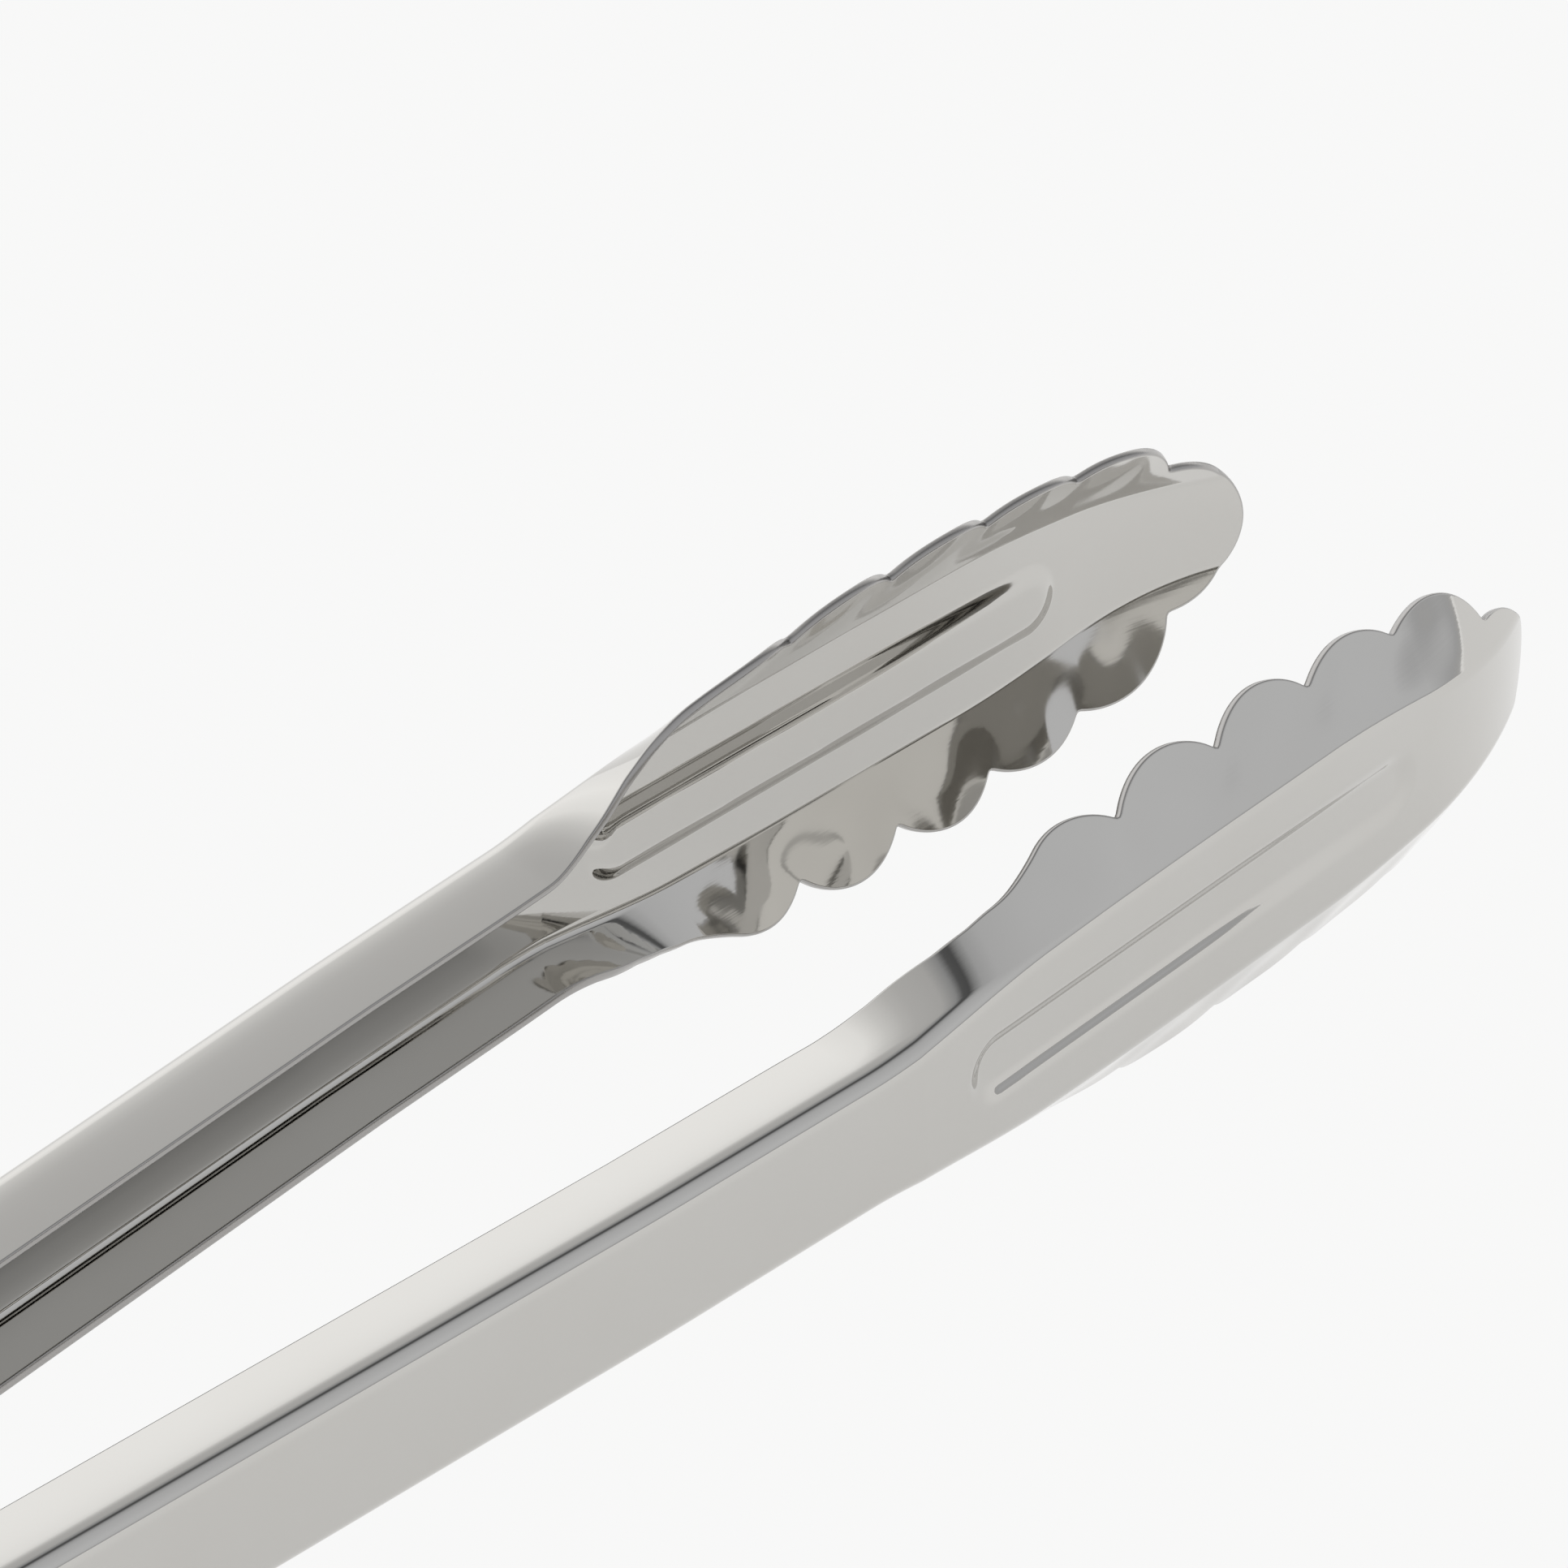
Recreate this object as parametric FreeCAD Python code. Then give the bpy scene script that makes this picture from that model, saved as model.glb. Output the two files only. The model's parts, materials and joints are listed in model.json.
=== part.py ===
import FreeCAD, Part
import math
import os

# Spring loaded kitchen tongs lying on their side.
# +X runs from the hinge to the jaws, +Z is the hinge axis, Y is the opening direction.
# While a piece is being built the hinge axis is X = 0, Y = 0 and the middle plane is Z = 0.

# sheet and channel of one arm
sheet = 1.0
arm_half_width = 9.0
arm_back = 7.2
bend_radius = 2.25
flange_lean = 11.0
flange_depth = 9.1
open_angle = 4.05

# hinge end of an arm
tail_end = -12.0
ear_end = 24.0
lean_full = 60.0
taper_end = 110.0
lean_stations = [33.0, 42.0, 51.0]
short_flange = 7.45
nested_half_width = 7.75
ear_radius = 5.4
ear_round_angle = -130.0
stop_half_width = 3.6
stop_edge = 0.95
stop_fold_radius = 0.9

# jaw, measured along the arm from the hinge axis
neck_start = 284.5
neck_full = 308.5
neck_turn = 55.0
late_start = 293.5
late_full = 335.0
late_turn = 16.0
spread_full = 320.0
jaw_spread = 0.35
neck_root = 278.0
neck_waist = 303.0
neck_dip = 2.63
spread_end = 311.0
narrow_start = 350.0
stoop_start = 260.0
stoop_slope = 0.019
dive_start = 291.0
dive_slope = 0.094
curl_start = 366.0
curl_radius = 48.5
jaw_end = 389.5
wing_reach = 15.5
jaw_bend_radius = 2.6
tip_half_width = 5.5
jaw_root = 282.0
jaw_stations = [284, 287, 290, 294, 298, 302, 305, 308, 311, 314, 318, 330, 348, 362, 370, 377, 383, jaw_end]

# scallops along one side: where each notch is, how far out it is, and how far the lobe before it swells
neck_foot = (304.7, 13.83)
neck_hollow = 0.2
first_lobe = (312.0, 16.1)
notches = [(322.4, 15.25, 1.5), (336.7, 15.8, 3.1), (350.4, 15.8, 2.9), (363.8, 15.0, 2.35), (378.4, 9.5, 3.25)]
tip_reach = 387.9

# stiffening bead pressed inward along the middle of the jaw
bead_start = 297.0
bead_end = 365.0
bead_half_width = 4.6
bead_foot = 1.3
bead_depth = 1.0
bead_run_out = 0.4

# rivet, washers, sleeve, spring and hanging loop
rivet_radius = 2.0
lower_hole_radius = 2.03
upper_hole_radius = 2.06
rivet_head_radius = 3.9
rivet_head_height = 1.5
washer_radius = 4.4
washer_hole_radius = 2.1
washer_thickness = 0.6
washer_gap = 0.05
sleeve_radius = 2.7
sleeve_bore_radius = 2.05
sleeve_half_length = 6.6
spring_wire_radius = 0.75
spring_coil_radius = 3.75
spring_pitch = 1.62
spring_turns = 4.5
spring_leg_end = 34.0
spring_leg_gap = 0.05
loop_wire_radius = 0.9
loop_height = 5.6
loop_fit = 0.08
loop_reach = 24.0

# reach of the tool bodies beyond the sheet they trim, and fineness of the mesh that centres the tongs
clear = 40.0
mesh_step = 0.01

middle = FreeCAD.Vector(0, 0, 0)
up = FreeCAD.Vector(0, 0, 1)


def smooth(value, low, high):
    """Ease from 0 at low to 1 at high."""
    t = min(max((value - low) / (high - low), 0.0), 1.0)
    return t * t * (3 - 2 * t)


def web_back(s):
    """Outer face of the web, measured from the arm's centre line."""
    if s <= stoop_start:
        return arm_back
    if s <= dive_start:
        return arm_back - stoop_slope * (s - stoop_start)
    dive_back = arm_back - stoop_slope * (dive_start - stoop_start)
    if s <= curl_start:
        return dive_back - dive_slope * (s - dive_start)
    first = math.atan(dive_slope)
    turned = math.asin(math.sin(first) + (s - curl_start) / curl_radius)
    drop = curl_radius * (math.cos(first) - math.cos(turned))
    return dive_back - dive_slope * (curl_start - dive_start) - drop


def flange_length(s):
    """Length of a flange from the sharp corner to its free edge."""
    if s <= ear_end:
        return short_flange
    grown = min((s - ear_end) / (taper_end - ear_end), 1.0)
    depth = short_flange + (flange_depth - short_flange) * grown
    length = depth / math.cos(math.radians(flange_lean * smooth(s, ear_end, lean_full)))
    length = length - neck_dip * smooth(s, neck_start, neck_waist)
    return length + (wing_reach - flange_depth) * smooth(s, neck_waist, spread_end)


def side_angle(s):
    """Angle through which the sheet turns from the web into the flange or the jaw's wing."""
    leaned = 90 + flange_lean * smooth(s, ear_end, lean_full)
    turned = neck_turn * smooth(s, neck_start, neck_full)
    return leaned - turned - late_turn * smooth(s, late_start, late_full)


def corner_half_width(s, rear_half_width):
    """Half width of the web at the sharp corner."""
    rear = rear_half_width + (arm_half_width - rear_half_width) * smooth(s, ear_end, lean_full)
    spread = rear + jaw_spread * smooth(s, late_start, spread_full)
    return spread - (arm_half_width - tip_half_width) * smooth(s, narrow_start, jaw_end)


def section(s, rear_half_width):
    """Closed cross section of the sheet at the station s: lines with round bends."""
    back = web_back(s)
    corner = corner_half_width(s, rear_half_width)
    turn = math.radians(side_angle(s))
    radius = bend_radius + (jaw_bend_radius - bend_radius) * smooth(s, neck_start, neck_full)
    tangent = radius * math.tan(turn / 2)
    length = flange_length(s)
    centre_y = back - radius
    centre_z = corner - tangent

    def on_bend(reach, angle, side):
        y = centre_y + reach * math.cos(angle)
        z = centre_z + reach * math.sin(angle)
        return FreeCAD.Vector(s, y, side * z)

    def free_edge(depth, side):
        y = back - length * math.sin(turn) - depth * math.cos(turn)
        z = corner + length * math.cos(turn) - depth * math.sin(turn)
        return FreeCAD.Vector(s, y, side * z)

    def face_edges(reach, depth, side):
        edge = free_edge(depth, side)
        start = on_bend(reach, turn, side)
        half_way = on_bend(reach, turn / 2, side)
        end = on_bend(reach, 0, side)
        return edge, start, half_way, end

    outer = radius
    inner = radius - sheet
    e1, a1, m1, b1 = face_edges(outer, 0, 1)
    e2, a2, m2, b2 = face_edges(outer, 0, -1)
    e3, a3, m3, b3 = face_edges(inner, sheet, -1)
    e4, a4, m4, b4 = face_edges(inner, sheet, 1)
    edges = [
        Part.makeLine(e1, a1),
        Part.Arc(a1, m1, b1).toShape(),
        Part.makeLine(b1, b2),
        Part.Arc(b2, m2, a2).toShape(),
        Part.makeLine(a2, e2),
        Part.makeLine(e2, e3),
        Part.makeLine(e3, a3),
        Part.Arc(a3, m3, b3).toShape(),
        Part.makeLine(b3, b4),
        Part.Arc(b4, m4, a4).toShape(),
        Part.makeLine(a4, e4),
        Part.makeLine(e4, e1),
    ]
    return Part.Wire(edges)


def loft(stations, rear_half_width, ruled):
    """Solid through the cross sections at the given stations."""
    wires = [section(s, rear_half_width) for s in stations]
    return Part.makeLoft(wires, True, ruled)


def arc_point(start, end, swell):
    """Middle of the arc from start to end that swells away from the jaw's centre line."""
    along = (end[0] - start[0], end[1] - start[1])
    chord = math.hypot(along[0], along[1])
    x = (start[0] + end[0]) / 2 - along[1] / chord * swell
    z = (start[1] + end[1]) / 2 + along[0] / chord * swell
    return (x, z)


def scallop_side(side):
    """Edges of the scalloped trim line along one side, from the neck to the last notch."""
    def at(point):
        return FreeCAD.Vector(point[0], -clear, side * point[1])

    edges = [Part.makeLine(at((neck_root, neck_foot[1])), at(neck_foot))]
    hollow = arc_point(neck_foot, first_lobe, -neck_hollow)
    edges.append(Part.Arc(at(neck_foot), at(hollow), at(first_lobe)).toShape())
    start = first_lobe
    for x, z, swell in notches:
        end = (x, z)
        edges.append(Part.Arc(at(start), at(arc_point(start, end, swell)), at(end)).toShape())
        start = end
    return edges


def scallop_trim():
    """Block that keeps the jaw inside its scalloped outline."""
    last = notches[-1]
    near = FreeCAD.Vector(last[0], -clear, last[1])
    far = FreeCAD.Vector(last[0], -clear, -last[1])
    tip = FreeCAD.Vector(tip_reach, -clear, 0)
    back_edge = Part.makeLine(
        FreeCAD.Vector(neck_root, -clear, -neck_foot[1]),
        FreeCAD.Vector(neck_root, -clear, neck_foot[1]),
    )
    edges = scallop_side(1) + scallop_side(-1)
    edges.append(Part.Arc(near, tip, far).toShape())
    edges.append(back_edge)
    wire = Part.Wire(Part.__sortEdges__(edges))
    return Part.Face(wire).extrude(FreeCAD.Vector(0, 2 * clear, 0))


def stadium(half_width, depth):
    """Long outline with round ends, lying in the web's plane at the given depth."""
    x1 = bead_start + bead_half_width
    x2 = bead_end - bead_half_width
    a = FreeCAD.Vector(x1, -depth, half_width)
    b = FreeCAD.Vector(x2, -depth, half_width)
    c = FreeCAD.Vector(x2, -depth, -half_width)
    d = FreeCAD.Vector(x1, -depth, -half_width)
    front = FreeCAD.Vector(x2 + half_width, -depth, 0)
    rear = FreeCAD.Vector(x1 - half_width, -depth, 0)
    return Part.Wire([
        Part.makeLine(a, b),
        Part.Arc(b, front, c).toShape(),
        Part.makeLine(c, d),
        Part.Arc(d, rear, a).toShape(),
    ])


def on_web(shape):
    """Carry a shape from the plane Y = 0 on to the sloping web of the jaw."""
    placed = shape.copy()
    placed.translate(FreeCAD.Vector(-dive_start, 0, 0))
    placed.rotate(middle, up, -math.degrees(math.atan(dive_slope)))
    placed.translate(FreeCAD.Vector(dive_start, web_back(dive_start), 0))
    return placed


def bead_groove():
    """Hollow of the bead on the outer face."""
    top = stadium(bead_half_width + bead_run_out * bead_foot / bead_half_width, -bead_run_out)
    bottom = stadium(bead_half_width - bead_foot, bead_depth)
    return on_web(Part.makeLoft([top, bottom], True, True))


def bead_ridge():
    """Swelling of the bead on the inner face."""
    top = stadium(bead_half_width + bead_run_out, sheet / 2)
    bottom = stadium(bead_half_width - bead_foot + bead_run_out, sheet + bead_depth)
    return on_web(Part.makeLoft([top, bottom], True, True))


def jaw(rear_half_width):
    """Flared, curled and scalloped end of one arm."""
    body = loft([jaw_root] + jaw_stations, rear_half_width, False)
    trimmed = body.common(scallop_trim())
    return trimmed.fuse(bead_ridge()).cut(bead_groove())


def ear(half_width):
    """Rounded pair of ears that carry the rivet."""
    corner_y = arm_back - bend_radius
    reach = (ear_end ** 2 + (arm_back - short_flange) ** 2) ** 0.5
    lean = math.atan2(arm_back - short_flange, ear_end) - math.acos(ear_radius / reach)
    rear = FreeCAD.Vector(tail_end, corner_y, 0)
    back = FreeCAD.Vector(-ear_radius, 0, 0)
    turn = math.radians(ear_round_angle)
    round_point = FreeCAD.Vector(ear_radius * math.cos(turn), ear_radius * math.sin(turn), 0)
    leave = FreeCAD.Vector(ear_radius * math.cos(lean), ear_radius * math.sin(lean), 0)
    front = FreeCAD.Vector(ear_end, arm_back - short_flange, 0)
    front_top = FreeCAD.Vector(ear_end, corner_y, 0)
    wire = Part.Wire([
        Part.makeLine(rear, back),
        Part.Arc(back, round_point, leave).toShape(),
        Part.makeLine(leave, front),
        Part.makeLine(front, front_top),
        Part.makeLine(front_top, rear),
    ])
    plate = Part.Face(wire).extrude(FreeCAD.Vector(0, 0, sheet))
    near = plate.copy()
    near.translate(FreeCAD.Vector(0, 0, half_width - sheet))
    far = plate.copy()
    far.translate(FreeCAD.Vector(0, 0, -half_width))
    return [near, far]


def tail_trim(half_width):
    """Corner blocks that leave each tail flange sloping down to the ear."""
    a = FreeCAD.Vector(tail_end - sheet, arm_back - bend_radius, 0)
    b = FreeCAD.Vector(tail_end, arm_back - bend_radius, 0)
    c = FreeCAD.Vector(-ear_radius, 0, 0)
    d = FreeCAD.Vector(-ear_radius, -arm_back, 0)
    e = FreeCAD.Vector(tail_end - sheet, -arm_back, 0)
    wire = Part.makePolygon([a, b, c, d, e, a])
    block = Part.Face(wire).extrude(FreeCAD.Vector(0, 0, 2 * clear))
    block.translate(FreeCAD.Vector(0, 0, -clear))
    return block


def stop_tab():
    """End of the web folded inward; the two tabs meet when the tongs are fully open."""
    size_y = arm_back - stop_edge
    block = Part.makeBox(sheet, size_y, 2 * stop_half_width)
    block.translate(FreeCAD.Vector(tail_end - sheet, stop_edge, -stop_half_width))
    corner = [e for e in block.Edges if e.BoundBox.XLength < 0.01 and e.BoundBox.YLength < 0.01
              and e.BoundBox.XMax < tail_end - sheet / 2 and e.BoundBox.YMax > arm_back - 0.1]
    return block.makeFillet(stop_fold_radius, corner)


def arm(rear_half_width, hole_radius):
    """One stamped arm, opening towards -Y, before it is turned about the hinge."""
    rear = loft([tail_end, ear_end], rear_half_width, True).cut(tail_trim(rear_half_width))
    leaning = loft([ear_end] + lean_stations + [lean_full], rear_half_width, False)
    shank = loft([lean_full, taper_end, stoop_start, jaw_root], rear_half_width, True)
    pieces = ear(rear_half_width) + [leaning, shank, jaw(rear_half_width), stop_tab()]
    body = rear.fuse(pieces)
    hole = Part.makeCylinder(hole_radius, 2 * clear, FreeCAD.Vector(0, 0, -clear), up)
    return body.cut(hole).removeSplitter()


def upper_arm():
    shape = arm(nested_half_width, upper_hole_radius)
    shape.rotate(middle, up, open_angle)
    return shape


def lower_arm():
    shape = arm(arm_half_width, lower_hole_radius)
    shape = shape.mirror(middle, FreeCAD.Vector(0, 1, 0))
    shape.rotate(middle, up, -open_angle)
    return shape


def rivet():
    """Solid rivet with two low domed heads."""
    half = arm_half_width + washer_gap + washer_thickness
    dome = (rivet_head_radius ** 2 + rivet_head_height ** 2) / (2 * rivet_head_height)
    shaft = Part.makeCylinder(rivet_radius, 2 * half, FreeCAD.Vector(0, 0, -half), up)
    ball = Part.makeSphere(dome, FreeCAD.Vector(0, 0, half + rivet_head_height - dome))
    top = ball.common(Part.makeCylinder(rivet_head_radius, clear, FreeCAD.Vector(0, 0, half), up))
    bottom = top.mirror(middle, up)
    return shaft.fuse([top, bottom]).removeSplitter()


def washers():
    low = arm_half_width + washer_gap / 2
    outer = Part.makeCylinder(washer_radius, washer_thickness, FreeCAD.Vector(0, 0, low), up)
    inner = Part.makeCylinder(washer_hole_radius, clear, FreeCAD.Vector(0, 0, 0), up)
    ring = outer.cut(inner)
    return Part.makeCompound([ring, ring.mirror(middle, up)])


def sleeve():
    length = 2 * sleeve_half_length
    start = FreeCAD.Vector(0, 0, -sleeve_half_length)
    tube = Part.makeCylinder(sleeve_radius, length, start, up)
    return tube.cut(Part.makeCylinder(sleeve_bore_radius, length, start, up))


def spring_leg(height, side):
    """Straight leg from the coil to the inside of one web."""
    angle = math.radians(open_angle)
    reach = arm_back - sheet - spring_wire_radius - spring_leg_gap
    x = spring_leg_end * math.cos(angle) - reach * math.sin(angle)
    y = spring_leg_end * math.sin(angle) + reach * math.cos(angle)
    end = FreeCAD.Vector(x, side * y, height)
    start = FreeCAD.Vector(0, side * spring_coil_radius, height)
    along = end - start
    rod = Part.makeCylinder(spring_wire_radius, along.Length, start, along)
    knuckle = Part.makeSphere(spring_wire_radius, start)
    tip = Part.makeSphere(spring_wire_radius, end)
    return rod.fuse([knuckle, tip])


def spring():
    """Torsion spring wound about the hinge axis, with a leg on each web."""
    height = spring_pitch * spring_turns
    path = Part.makeLongHelix(spring_pitch, height, spring_coil_radius, 0, True)
    start = FreeCAD.Vector(spring_coil_radius, 0, 0)
    outline = Part.Wire(Part.makeCircle(spring_wire_radius, start, FreeCAD.Vector(0, 1, 0)))
    coil = Part.Wire(path.Edges).makePipeShell([outline], True, True)
    coil.translate(FreeCAD.Vector(0, 0, -height / 2))
    coil.rotate(middle, up, -90)
    low = spring_leg(-height / 2, -1)
    high = spring_leg(height / 2, 1)
    return coil.fuse([low, high])


def hanging_loop():
    """Wire loop that turns on the sleeve and stands out behind the hinge."""
    eye_radius = sleeve_radius + loop_fit + loop_wire_radius
    back = FreeCAD.Vector(-1, 0, 0)
    solids = []
    for side in (1, -1):
        height = side * loop_height
        solids.append(Part.makeTorus(eye_radius, loop_wire_radius, FreeCAD.Vector(0, 0, height), up))
        start = FreeCAD.Vector(-eye_radius, 0, height)
        solids.append(Part.makeCylinder(loop_wire_radius, loop_reach - eye_radius, start, back))
    bend = Part.makeTorus(loop_height, loop_wire_radius, FreeCAD.Vector(-loop_reach, 0, 0),
                          FreeCAD.Vector(0, 1, 0))
    half = Part.makeBox(clear, 2 * clear, 2 * clear, FreeCAD.Vector(-loop_reach - clear, -clear, -clear))
    return solids[0].fuse(solids[1:] + [bend.common(half)])


def main():
    os.makedirs("parts", exist_ok=True)
    pieces = {
        "lower_arm": lower_arm(),
        "upper_arm": upper_arm(),
        "hinge_rivet": rivet(),
        "rivet_washers": washers(),
        "hinge_sleeve": sleeve(),
        "torsion_spring": spring(),
        "hanging_loop": hanging_loop(),
    }
    points = Part.makeCompound(list(pieces.values())).tessellate(mesh_step)[0]
    rear = min(p.x for p in points)
    front = max(p.x for p in points)
    lowest = min(p.z for p in points)
    shift = FreeCAD.Vector(-(rear + front) / 2, 0, -lowest)
    for name, shape in pieces.items():
        shape.translate(shift)
        shape.exportStep("parts/" + name + ".step")
        print(name, "solids", len(shape.Solids), "valid", shape.isValid(), "volume", round(shape.Volume, 1))
    print("hinge axis x", round(shift.x, 4), "middle z", round(shift.z, 4))
    width = max(p.y for p in points) - min(p.y for p in points)
    print("size", round(front - rear, 3), round(width, 3), round(-2 * lowest, 3))


main()
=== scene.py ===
import json
import math

import bmesh
import bpy
import numpy as np
from mathutils import Matrix, Vector


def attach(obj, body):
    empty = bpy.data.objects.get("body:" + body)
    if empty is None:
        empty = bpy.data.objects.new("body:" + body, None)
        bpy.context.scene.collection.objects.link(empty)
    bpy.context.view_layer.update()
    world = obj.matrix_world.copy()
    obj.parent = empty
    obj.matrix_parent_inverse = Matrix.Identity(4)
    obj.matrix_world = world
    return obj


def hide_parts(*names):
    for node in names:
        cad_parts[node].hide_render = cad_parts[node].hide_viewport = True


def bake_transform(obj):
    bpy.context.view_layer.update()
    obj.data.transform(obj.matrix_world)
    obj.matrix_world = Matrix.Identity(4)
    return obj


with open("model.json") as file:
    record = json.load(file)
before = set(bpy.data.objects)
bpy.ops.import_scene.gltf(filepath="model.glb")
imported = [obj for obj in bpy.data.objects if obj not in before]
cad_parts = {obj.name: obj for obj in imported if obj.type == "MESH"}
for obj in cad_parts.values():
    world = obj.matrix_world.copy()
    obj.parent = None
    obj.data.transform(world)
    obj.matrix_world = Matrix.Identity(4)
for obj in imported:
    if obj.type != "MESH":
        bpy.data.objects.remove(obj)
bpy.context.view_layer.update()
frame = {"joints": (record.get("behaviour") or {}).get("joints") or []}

# Lengths below are in millimetres in each arm's own frame: s runs along the arm from the hinge axis,
# y stands out from the middle of the pair towards that arm's back, z runs along the hinge axis, and
# q is the distance across the unrolled sheet from its middle line.
hingeJoint = [j for j in frame["joints"] if j["name"] == "arm_hinge"][0]
hingeAt = np.array(hingeJoint["pos_m"])
openAngle = math.radians(4.05)


def ease(x, low, high):
    # smoothstep: 0 below low, 1 above high
    t = np.clip((x - low) / (high - low), 0.0, 1.0)
    return t * t * (3 - 2 * t)


arm = {
    # channel
    "sheet": 1.0, "back": 7.2, "halfWidth": 9.0, "nestedHalfWidth": 7.75, "bend": 2.25, "lean": 11.0,
    "shortFlange": 7.45, "flange": 9.1, "earEnd": 24.0, "leanFull": 60.0, "taperEnd": 110.0,
    "softTurn": 9.0, "softReach": 1.7,
    # tail, folded stop tab and ear
    "foldAt": -11.4, "foldRadius": 1.6, "tabHalfWidth": 3.6, "tabEdge": 0.95, "tabCorner": 0.4,
    "earRadius": 5.4, "holeRadius": 2.08,
    # neck, where the flanges open out into the jaw's wings
    "neck": 284.5, "wingFull": 308.5, "neckTurn": 55.0, "lateTurn": 16.0, "lateAt": 293.5, "lateFull": 335.0,
    "spreadFull": 320.0, "jawSpread": 0.35, "jawBend": 2.6,
    # fall of the web towards the tip
    "stoopAt": 260.0, "stoop": 0.019, "diveAt": 291.0, "dive": 0.094, "curlAt": 366.0, "curlRadius": 48.5,
    "narrowAt": 350.0, "tipHalfWidth": 5.5, "end": 389.5,
    # pressed bead
    "beadFrom": 301.5, "beadTo": 359.5, "beadHalf": 4.7, "beadFoot": 1.2, "beadSlope": 2.4, "beadDepth": 1.0,
    "beadFade": 0.35, "fadeAt": 330.0,
    # dished lobes: depth, spacing and place of one middle, where it comes in and goes out, reach from the crease
    "cup": 0.12, "cupPitch": 13.8, "cupAt": 322.6, "cupIn": (303, 314), "cupOut": (370, 379),
    "cupReach": (0.5, 6.5),
    # cut edge: how far it is rounded, and how square (1 is a plain round)
    "edgeRound": 0.28, "edgePower": 0.6,
}


def webBack(s):
    # the web's outer face: level, a slight stoop from stoopAt, a straight dive from diveAt, then a
    # circular curl from curlAt
    a = arm
    first = math.atan(a["dive"])
    level = a["back"] - a["stoop"] * np.clip(s - a["stoopAt"], 0, a["diveAt"] - a["stoopAt"])
    level = level - a["dive"] * np.clip(s - a["diveAt"], 0, a["curlAt"] - a["diveAt"])
    run = np.clip(s - a["curlAt"], 0, None) / a["curlRadius"]
    turned = np.arcsin(np.clip(math.sin(first) + run, -1, 1))
    return level - a["curlRadius"] * (math.cos(first) - np.cos(turned))


def sectionAt(s, rearHalf):
    # half section's sizes: flat half web, bend radius and turn of the bend in radians; the flat part ends
    # where a bend of that radius and turn starts before the sharp corner
    a = arm
    turn = 90 + a["lean"] * ease(s, a["earEnd"], a["leanFull"])
    turn = turn - a["neckTurn"] * ease(s, a["neck"], a["wingFull"])
    turn = np.radians(turn - a["lateTurn"] * ease(s, a["lateAt"], a["lateFull"]))
    radius = a["bend"] + (a["jawBend"] - a["bend"]) * ease(s, a["neck"], a["wingFull"])
    corner = rearHalf + (a["halfWidth"] - rearHalf) * ease(s, a["earEnd"], a["leanFull"])
    corner = corner + a["jawSpread"] * ease(s, a["lateAt"], a["spreadFull"])
    corner = corner - (a["halfWidth"] - a["tipHalfWidth"]) * ease(s, a["narrowAt"], a["end"])
    return corner - radius * np.tan(turn / 2), radius, turn


def beadDrop(s, z):
    # depth of the pressed bead: full within its foot, easing to nothing at its half width, round ends
    a = arm
    beyond = s - np.clip(s, a["beadFrom"], a["beadTo"])
    away = np.hypot(beyond, z)
    depth = a["beadDepth"] - a["beadFade"] * ease(s, a["fadeAt"], a["beadTo"])
    return depth * (1 - ease(away, a["beadHalf"] - a["beadSlope"] * a["beadFoot"], a["beadHalf"]))


def cupping(s, rest):
    # each lobe of the wing is dished a little: a cosine along the jaw that grows away from the crease
    a = arm
    wave = np.cos(2 * math.pi * (s - a["cupAt"]) / a["cupPitch"])
    there = ease(s, *a["cupIn"]) * (1 - ease(s, *a["cupOut"])) * ease(rest, *a["cupReach"])
    return a["cup"] * wave * there


def sheetPoint(s, q, rearHalf):
    # outer face at s and at q across the sheet from its middle line: straight web, round bend whose last
    # softTurn degrees are spread into the flange, straight flange or dished wing, and at the tail the web
    # folded inward round foldRadius
    a = arm
    side, q = np.sign(q), np.abs(q)
    flat, radius, turn = sectionAt(np.maximum(s, a["foldAt"]), rearHalf)
    soft = math.radians(a["softTurn"]) * ease(s, a["earEnd"], a["leanFull"])
    soft = soft * (1 - ease(s, a["neck"], a["wingFull"]))
    swell = soft * a["softReach"]
    angle = np.clip((q - flat) / radius, 0, turn - soft)
    rest = np.clip(q - flat - radius * turn + radius * soft, 0, None)
    out = swell * (1 - np.exp(-rest / a["softReach"])) + cupping(s, rest)
    back = webBack(s)
    y = back - radius * (1 - np.cos(angle)) - rest * np.sin(turn) + out * np.cos(turn)
    z = np.minimum(q, flat) + radius * np.sin(angle) + rest * np.cos(turn) + out * np.sin(turn)
    z = z - swell * np.minimum(q / np.maximum(flat, 1), 1)
    y = y - beadDrop(s, z)
    past = np.clip(a["foldAt"] - s, 0, None)
    fold = np.clip(past / a["foldRadius"], 0, math.pi / 2)
    x = np.maximum(s, a["foldAt"]) - a["foldRadius"] * np.sin(fold)
    y = y - a["foldRadius"] * (1 - np.cos(fold)) - np.clip(past - a["foldRadius"] * math.pi / 2, 0, None)
    return np.stack([x, y, side * z], -1)


def sheetNormal(s, q, rearHalf):
    # outward normal from small steps along and across the sheet
    step = 0.01
    along = sheetPoint(s + step, q, rearHalf) - sheetPoint(s - step, q, rearHalf)
    onMiddle = np.abs(q) < step
    across = sheetPoint(s, np.where(onMiddle, step, q + step), rearHalf)
    across = across - sheetPoint(s, np.where(onMiddle, -step, q - step), rearHalf)
    n = np.cross(across, along)
    return n / np.linalg.norm(n, axis=-1, keepdims=True)


def acrossFor(s, z, rearHalf):
    # q whose point lies z from the middle plane, on the web, the bend or the wing
    flat, radius, turn = sectionAt(s, rearHalf)
    top = flat + radius * np.sin(turn)
    onBend = flat + radius * np.arcsin(np.clip((z - flat) / radius, 0, 1))
    onWing = flat + radius * turn + (z - top) / np.cos(turn)
    return np.where(z < flat, z, np.where(z < top, onBend, onWing))


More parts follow.
